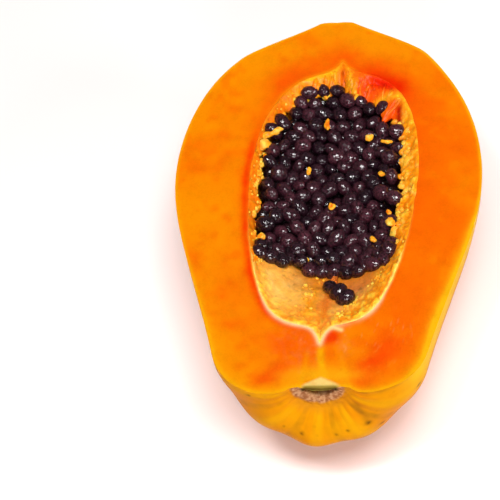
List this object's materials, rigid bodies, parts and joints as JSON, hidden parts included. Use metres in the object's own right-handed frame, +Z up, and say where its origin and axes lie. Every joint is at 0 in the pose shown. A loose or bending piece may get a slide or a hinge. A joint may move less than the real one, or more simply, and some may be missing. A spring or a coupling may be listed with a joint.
{
  "type": "papaya half",
  "caption": "Ripe papaya half cut lengthwise, level cut face up, hollow heaped with dark seeds, ribbed rind with a corky stalk scar",
  "frame": {"origin": "middle of the outer box, on the surface that the half rests on", "axes": "+Y from the stem end to the blossom end, +Z up out of the level cut face, +X to the right when looking along +Y"},
  "size_m": [0.1296, 0.204, 0.0685],
  "materials": {
    "flesh": "moist ripe orange flesh inside a thin golden yellow rind, slightly waxy",
    "seeds": "wet, near black with a purple brown cast, finely wrinkled"
  },
  "bodies": {
    "root": {"fruit": "flesh", "seeds": "seeds"}
  },
  "joints": []
}
